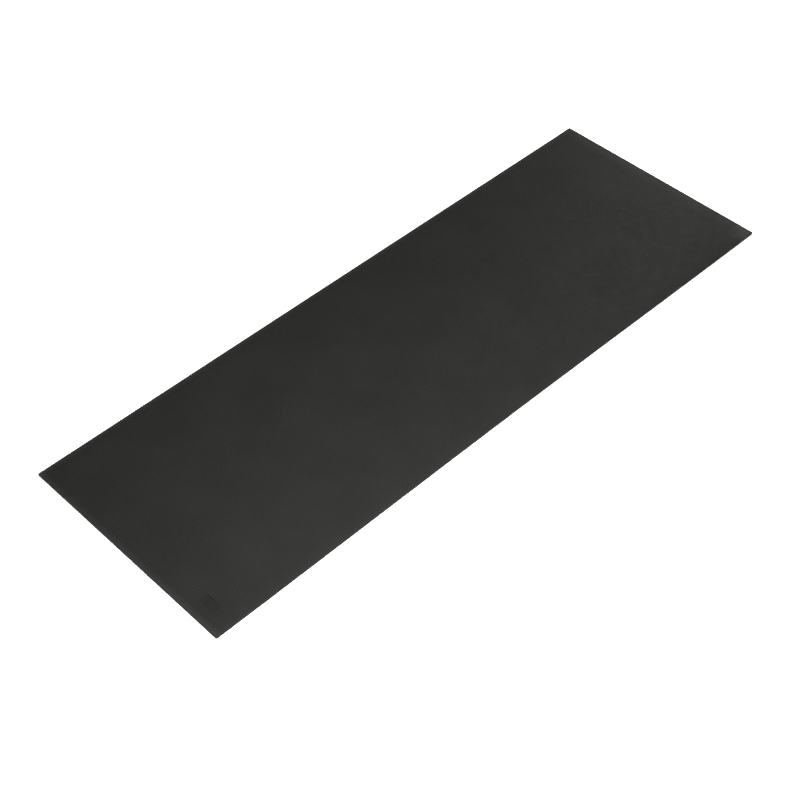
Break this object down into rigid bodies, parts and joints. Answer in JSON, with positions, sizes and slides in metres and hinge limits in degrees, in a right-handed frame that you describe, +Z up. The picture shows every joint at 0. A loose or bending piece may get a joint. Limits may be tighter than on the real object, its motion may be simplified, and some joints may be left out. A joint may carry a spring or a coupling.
{
  "type": "chair mat",
  "caption": "Thin ribbed rubber floor mat, long and narrow, laid flat under a chair to protect the floor and cushion the feet.",
  "frame": {"origin": "centre of the mat's underside, on the floor", "axes": "+X along the mat's length, with the badge near the -X, -Y corner; +Y across the mat; +Z up, from the grip backing to the ribs"},
  "size_m": [1.727, 0.61, 0.0055],
  "materials": {
    "ribbed_rubber": "matt black, finely grained, with ribs across the mat",
    "badge_rubber": "smooth satin black",
    "woven_scrim": "open plain weave of dark polyester",
    "core_foam": "closed-cell foam, matt",
    "backing_rubber": "matt black with a fine grip pattern"
  },
  "bodies": {
    "root": {"wear_layer": "ribbed_rubber", "corner_badge": "badge_rubber", "reinforcing_scrim": "woven_scrim", "cushion_core": "core_foam", "grip_backing": "backing_rubber"}
  },
  "joints": []
}
